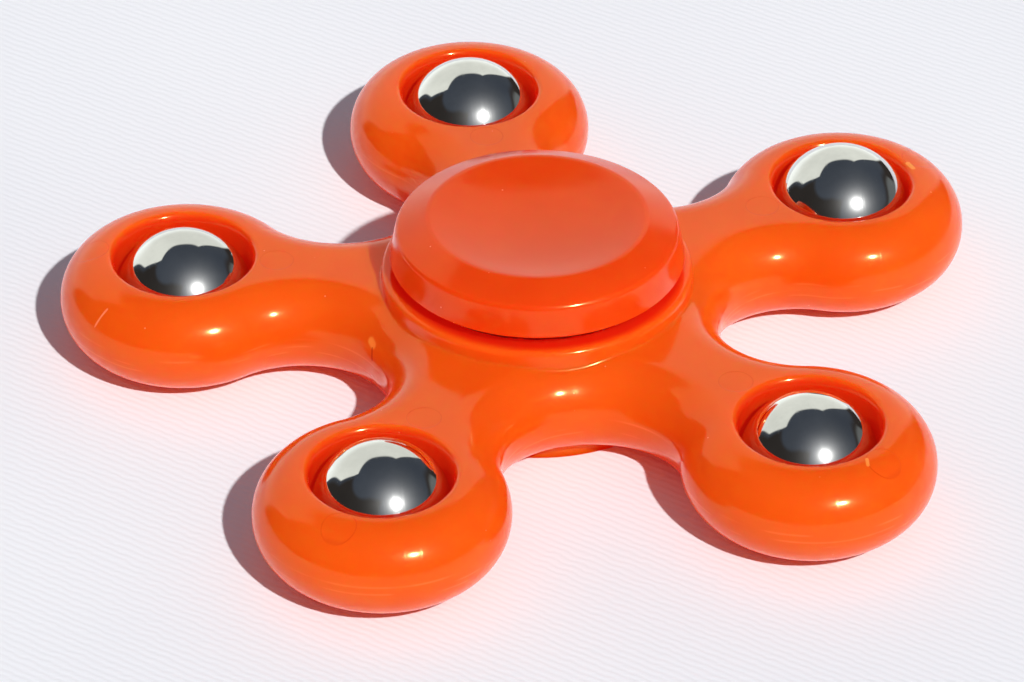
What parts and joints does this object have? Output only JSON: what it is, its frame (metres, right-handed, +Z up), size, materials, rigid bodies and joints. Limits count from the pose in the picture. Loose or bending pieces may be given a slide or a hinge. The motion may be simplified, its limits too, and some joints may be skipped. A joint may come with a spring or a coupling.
{
  "type": "fidget spinner",
  "caption": "Flat star-shaped fidget spinner: glossy round-ended arms with steel balls, turning on a ball bearing between two dished finger caps.",
  "frame": {"origin": "on the spin axis, at the middle of the bearing's width", "axes": "+Z up along the spin axis, out of the top cap's dished face; +Y along arm 1, arms numbered anticlockwise seen from +Z"},
  "size_m": [0.0806, 0.0776, 0.0216],
  "materials": {
    "body_plastic": "glossy moulded orange",
    "cap_plastic": "glossy moulded orange",
    "ball_steel": "mirror-polished",
    "bearing_steel": "ground",
    "shield_steel": "pressed sheet",
    "cage_nylon": "natural nylon"
  },
  "bodies": {
    "caps": {"top_cap": "cap_plastic", "bottom_cap": "cap_plastic", "bearing_inner_ring": "bearing_steel"},
    "spinner": {"spinner_body": "body_plastic", "weight_ball_1": "ball_steel", "weight_ball_2": "ball_steel", "weight_ball_3": "ball_steel", "weight_ball_4": "ball_steel", "weight_ball_5": "ball_steel", "bearing_outer_ring": "bearing_steel", "bearing_shield_top": "shield_steel", "bearing_shield_bottom": "shield_steel"},
    "cage": {"bearing_cage": "cage_nylon"},
    "ball_1": {"bearing_ball_1": "bearing_steel"},
    "ball_2": {"bearing_ball_2": "bearing_steel"},
    "ball_3": {"bearing_ball_3": "bearing_steel"},
    "ball_4": {"bearing_ball_4": "bearing_steel"},
    "ball_5": {"bearing_ball_5": "bearing_steel"},
    "ball_6": {"bearing_ball_6": "bearing_steel"},
    "ball_7": {"bearing_ball_7": "bearing_steel"}
  },
  "joints": [
    {"name": "spin", "type": "hinge", "parent": "caps", "child": "spinner", "pos_m": [0, 0, 0], "axis": [0, 0, 1], "continuous": true},
    {"name": "cage_spin", "type": "hinge", "parent": "caps", "child": "cage", "pos_m": [0, 0, 0], "axis": [0, 0, 1], "continuous": true},
    {"name": "ball_spin_1", "type": "hinge", "parent": "cage", "child": "ball_1", "pos_m": [0.0075, 0, 0], "axis": [0, 0, 1], "continuous": true},
    {"name": "ball_spin_2", "type": "hinge", "parent": "cage", "child": "ball_2", "pos_m": [0.00468, 0.00586, 0], "axis": [0, 0, 1], "continuous": true},
    {"name": "ball_spin_3", "type": "hinge", "parent": "cage", "child": "ball_3", "pos_m": [-0.00167, 0.00731, 0], "axis": [0, 0, 1], "continuous": true},
    {"name": "ball_spin_4", "type": "hinge", "parent": "cage", "child": "ball_4", "pos_m": [-0.00676, 0.00325, 0], "axis": [0, 0, 1], "continuous": true},
    {"name": "ball_spin_5", "type": "hinge", "parent": "cage", "child": "ball_5", "pos_m": [-0.00676, -0.00325, 0], "axis": [0, 0, 1], "continuous": true},
    {"name": "ball_spin_6", "type": "hinge", "parent": "cage", "child": "ball_6", "pos_m": [-0.00167, -0.00731, 0], "axis": [0, 0, 1], "continuous": true},
    {"name": "ball_spin_7", "type": "hinge", "parent": "cage", "child": "ball_7", "pos_m": [0.00468, -0.00586, 0], "axis": [0, 0, 1], "continuous": true}
  ],
  "couplings": [
    {"joint": "cage_spin", "follows": "spin", "ratio": 0.6323},
    {"joint": "ball_spin_1", "follows": "spin", "ratio": 1.7579},
    {"joint": "ball_spin_2", "follows": "spin", "ratio": 1.7579},
    {"joint": "ball_spin_3", "follows": "spin", "ratio": 1.7579},
    {"joint": "ball_spin_4", "follows": "spin", "ratio": 1.7579},
    {"joint": "ball_spin_5", "follows": "spin", "ratio": 1.7579},
    {"joint": "ball_spin_6", "follows": "spin", "ratio": 1.7579},
    {"joint": "ball_spin_7", "follows": "spin", "ratio": 1.7579}
  ]
}
